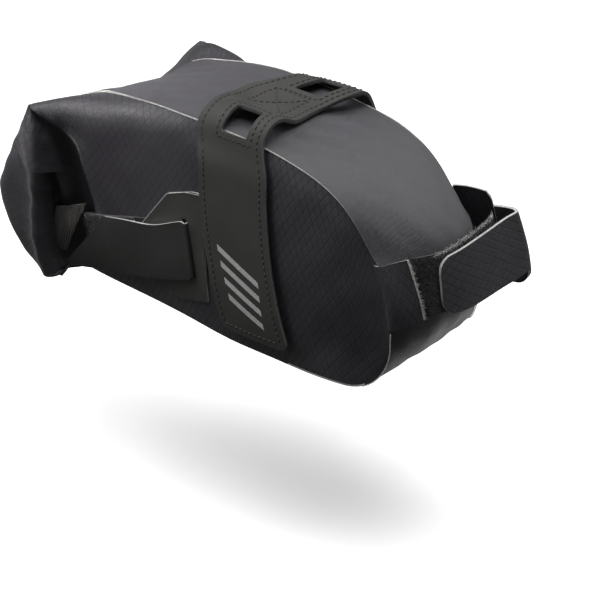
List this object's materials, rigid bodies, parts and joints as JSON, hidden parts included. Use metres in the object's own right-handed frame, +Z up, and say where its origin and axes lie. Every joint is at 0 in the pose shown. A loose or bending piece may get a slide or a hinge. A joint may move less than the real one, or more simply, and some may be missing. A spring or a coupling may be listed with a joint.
{
  "type": "saddle bag",
  "caption": "Tapered saddle bag with a fold-down rear closure, a strap over the saddle rails, and a hook-and-loop strap for the seatpost.",
  "frame": {"origin": "midway between the two saddle rails' axes, at the middle of the strap that hangs over them", "axes": "+X forward to the seatpost, along the rails; +Y to the rider's left; +Z up"},
  "size_m": [0.2217, 0.114, 0.102],
  "materials": {
    "top_fabric": "plain weave, coated, semi-matt",
    "side_fabric": "diamond ripstop, coated, slight sheen",
    "base_fabric": "smooth coated fabric, semi-matt",
    "hypalon": "rubber-coated sheet, matt",
    "closure_sheet": "rubber-coated sheet, satin",
    "lining": "backing cloth, matt",
    "webbing": "ribbed elastic webbing",
    "hook_tape": "nylon hook tape",
    "loop_tape": "nylon loop pile",
    "board": "polyethylene sheet"
  },
  "bodies": {
    "bag": {"top_panel": "top_fabric", "base_panel": "base_fabric", "side_panel_right": "side_fabric", "side_panel_left": "side_fabric", "base_stiffener": "board", "rear_sleeve": "side_fabric", "rail_strap": "hypalon", "rail_strap_lining": "lining", "front_tab_right": "side_fabric", "front_tab_left": "side_fabric", "seatpost_loop_strip": "loop_tape", "side_patch_right": "hypalon", "strap_run_right": "closure_sheet", "run_loop_pad_right": "loop_tape", "side_loop_pad_right": "loop_tape", "side_patch_left": "hypalon", "strap_run_left": "closure_sheet", "run_loop_pad_left": "loop_tape", "side_loop_pad_left": "loop_tape"},
    "closure": {"closure_fold": "side_fabric", "closure_stiffener": "board", "closure_webbing_right": "webbing", "closure_webbing_left": "webbing"},
    "flap_right": {"rail_flap_right": "hypalon", "flap_lining_right": "lining", "flap_hook_pad_right": "hook_tape"},
    "closure_end_right": {"strap_end_right": "closure_sheet", "end_hook_pad_right": "hook_tape"},
    "flap_left": {"rail_flap_left": "hypalon", "flap_lining_left": "lining", "flap_hook_pad_left": "hook_tape"},
    "closure_end_left": {"strap_end_left": "closure_sheet", "end_hook_pad_left": "hook_tape"},
    "post_strap": {"seatpost_strap": "side_fabric", "seatpost_hook_pad": "hook_tape"}
  },
  "joints": [
    {"name": "closure_hinge", "type": "hinge", "parent": "bag", "child": "closure", "pos_m": [-0.0882, 0, -0.0095], "axis": [0, 1, 0], "range_deg": [0, 95]},
    {"name": "flap_right_hinge", "type": "hinge", "parent": "bag", "child": "flap_right", "pos_m": [0, -0.035, -0.01205], "axis": [-1, 0, 0], "range_deg": [0, 120]},
    {"name": "closure_end_right_hinge", "type": "hinge", "parent": "bag", "child": "closure_end_right", "pos_m": [-0.0155, -0.04224, -0.06001], "axis": [-0.2504, 0.1444, 0.9573], "range_deg": [0, 150]},
    {"name": "flap_left_hinge", "type": "hinge", "parent": "bag", "child": "flap_left", "pos_m": [0, 0.035, -0.01205], "axis": [1, 0, 0], "range_deg": [0, 120]},
    {"name": "closure_end_left_hinge", "type": "hinge", "parent": "bag", "child": "closure_end_left", "pos_m": [-0.0155, 0.04224, -0.06001], "axis": [0.2504, 0.1444, -0.9573], "range_deg": [0, 150]},
    {"name": "post_strap_hinge", "type": "hinge", "parent": "bag", "child": "post_strap", "pos_m": [0.104, 0.0439, -0.052], "axis": [0, 0, 1], "range_deg": [0, 110]}
  ]
}
